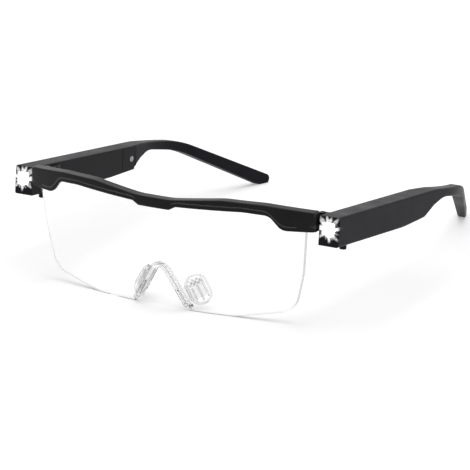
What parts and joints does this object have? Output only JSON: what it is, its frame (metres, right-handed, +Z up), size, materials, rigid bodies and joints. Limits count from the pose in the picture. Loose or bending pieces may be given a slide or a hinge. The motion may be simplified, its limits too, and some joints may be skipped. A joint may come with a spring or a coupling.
{
  "type": "lighted magnifier glasses",
  "caption": "Wrap-around magnifier glasses with a clear one-piece lens under a black brow bar, lamps in the fronts of folding temples and push buttons below.",
  "frame": {"origin": "centre of the bounding box at table level", "axes": "+Z up, -Y the way the wearer looks, +X towards the wearer's left"},
  "size_m": [0.1608, 0.194, 0.0526],
  "materials": {
    "frame_black": "satin black moulding",
    "temple_black": "fine matt black moulding",
    "lens_clear": "clear polished acrylic",
    "saddle_clear": "clear moulded plastic",
    "pad_clear": "clear soft silicone",
    "screw_steel": "small steel screws and leaves",
    "reflector_chrome": "bright metallised bowl",
    "window_clear": "clear lamp window",
    "emitter_white": "pale light emitter",
    "board_green": "green board",
    "wire_red": "insulated wire",
    "cell_silver": "silver battery pouch",
    "socket_steel": "plated steel",
    "button_black": "black button",
    "switch_dark": "dark switch body"
  },
  "bodies": {
    "front": {"brow_bar": "frame_black", "magnifier_lens": "lens_clear", "nose_saddle": "saddle_clear", "lens_screws": "screw_steel", "front_leaf_screws": "screw_steel", "left_nose_pad": "pad_clear", "right_nose_pad": "pad_clear", "left_front_hinge_leaf": "screw_steel", "right_front_hinge_leaf": "screw_steel"},
    "left_temple": {"left_temple_shell": "temple_black", "left_temple_cover": "temple_black", "left_cover_screw": "screw_steel", "left_temple_hinge_leaf": "screw_steel", "left_temple_leaf_screws": "screw_steel", "left_hinge_pin": "screw_steel", "left_lamp_window": "window_clear", "left_lamp_reflector": "reflector_chrome", "left_lamp_emitter": "emitter_white", "left_lamp_board": "board_green", "left_lamp_wires": "wire_red", "left_circuit_board": "board_green", "left_battery_wires": "wire_red", "left_battery_cell": "cell_silver", "left_button_switch": "switch_dark", "left_charging_socket": "socket_steel"},
    "left_button": {"left_push_button": "button_black"},
    "right_temple": {"right_temple_shell": "temple_black", "right_temple_cover": "temple_black", "right_cover_screw": "screw_steel", "right_temple_hinge_leaf": "screw_steel", "right_temple_leaf_screws": "screw_steel", "right_hinge_pin": "screw_steel", "right_lamp_window": "window_clear", "right_lamp_reflector": "reflector_chrome", "right_lamp_emitter": "emitter_white", "right_lamp_board": "board_green", "right_lamp_wires": "wire_red", "right_circuit_board": "board_green", "right_battery_wires": "wire_red", "right_battery_cell": "cell_silver", "right_button_switch": "switch_dark", "right_charging_socket": "socket_steel"},
    "right_button": {"right_push_button": "button_black"}
  },
  "joints": [
    {"name": "left_temple_fold", "type": "hinge", "parent": "front", "child": "left_temple", "pos_m": [0.0686, -0.0738, 0.0445], "axis": [0, 0, 1], "range_deg": [0, 91]},
    {"name": "left_button_press", "type": "slide", "parent": "left_temple", "child": "left_button", "axis": [0, 0.1219, 0.9925], "range_m": [0, 0.0006], "stiffness_N_per_m": 300},
    {"name": "right_temple_fold", "type": "hinge", "parent": "front", "child": "right_temple", "pos_m": [-0.0686, -0.0738, 0.0445], "axis": [0, 0, -1], "range_deg": [0, 75]},
    {"name": "right_button_press", "type": "slide", "parent": "right_temple", "child": "right_button", "axis": [0, 0.1219, 0.9925], "range_m": [0, 0.0006], "stiffness_N_per_m": 300}
  ]
}
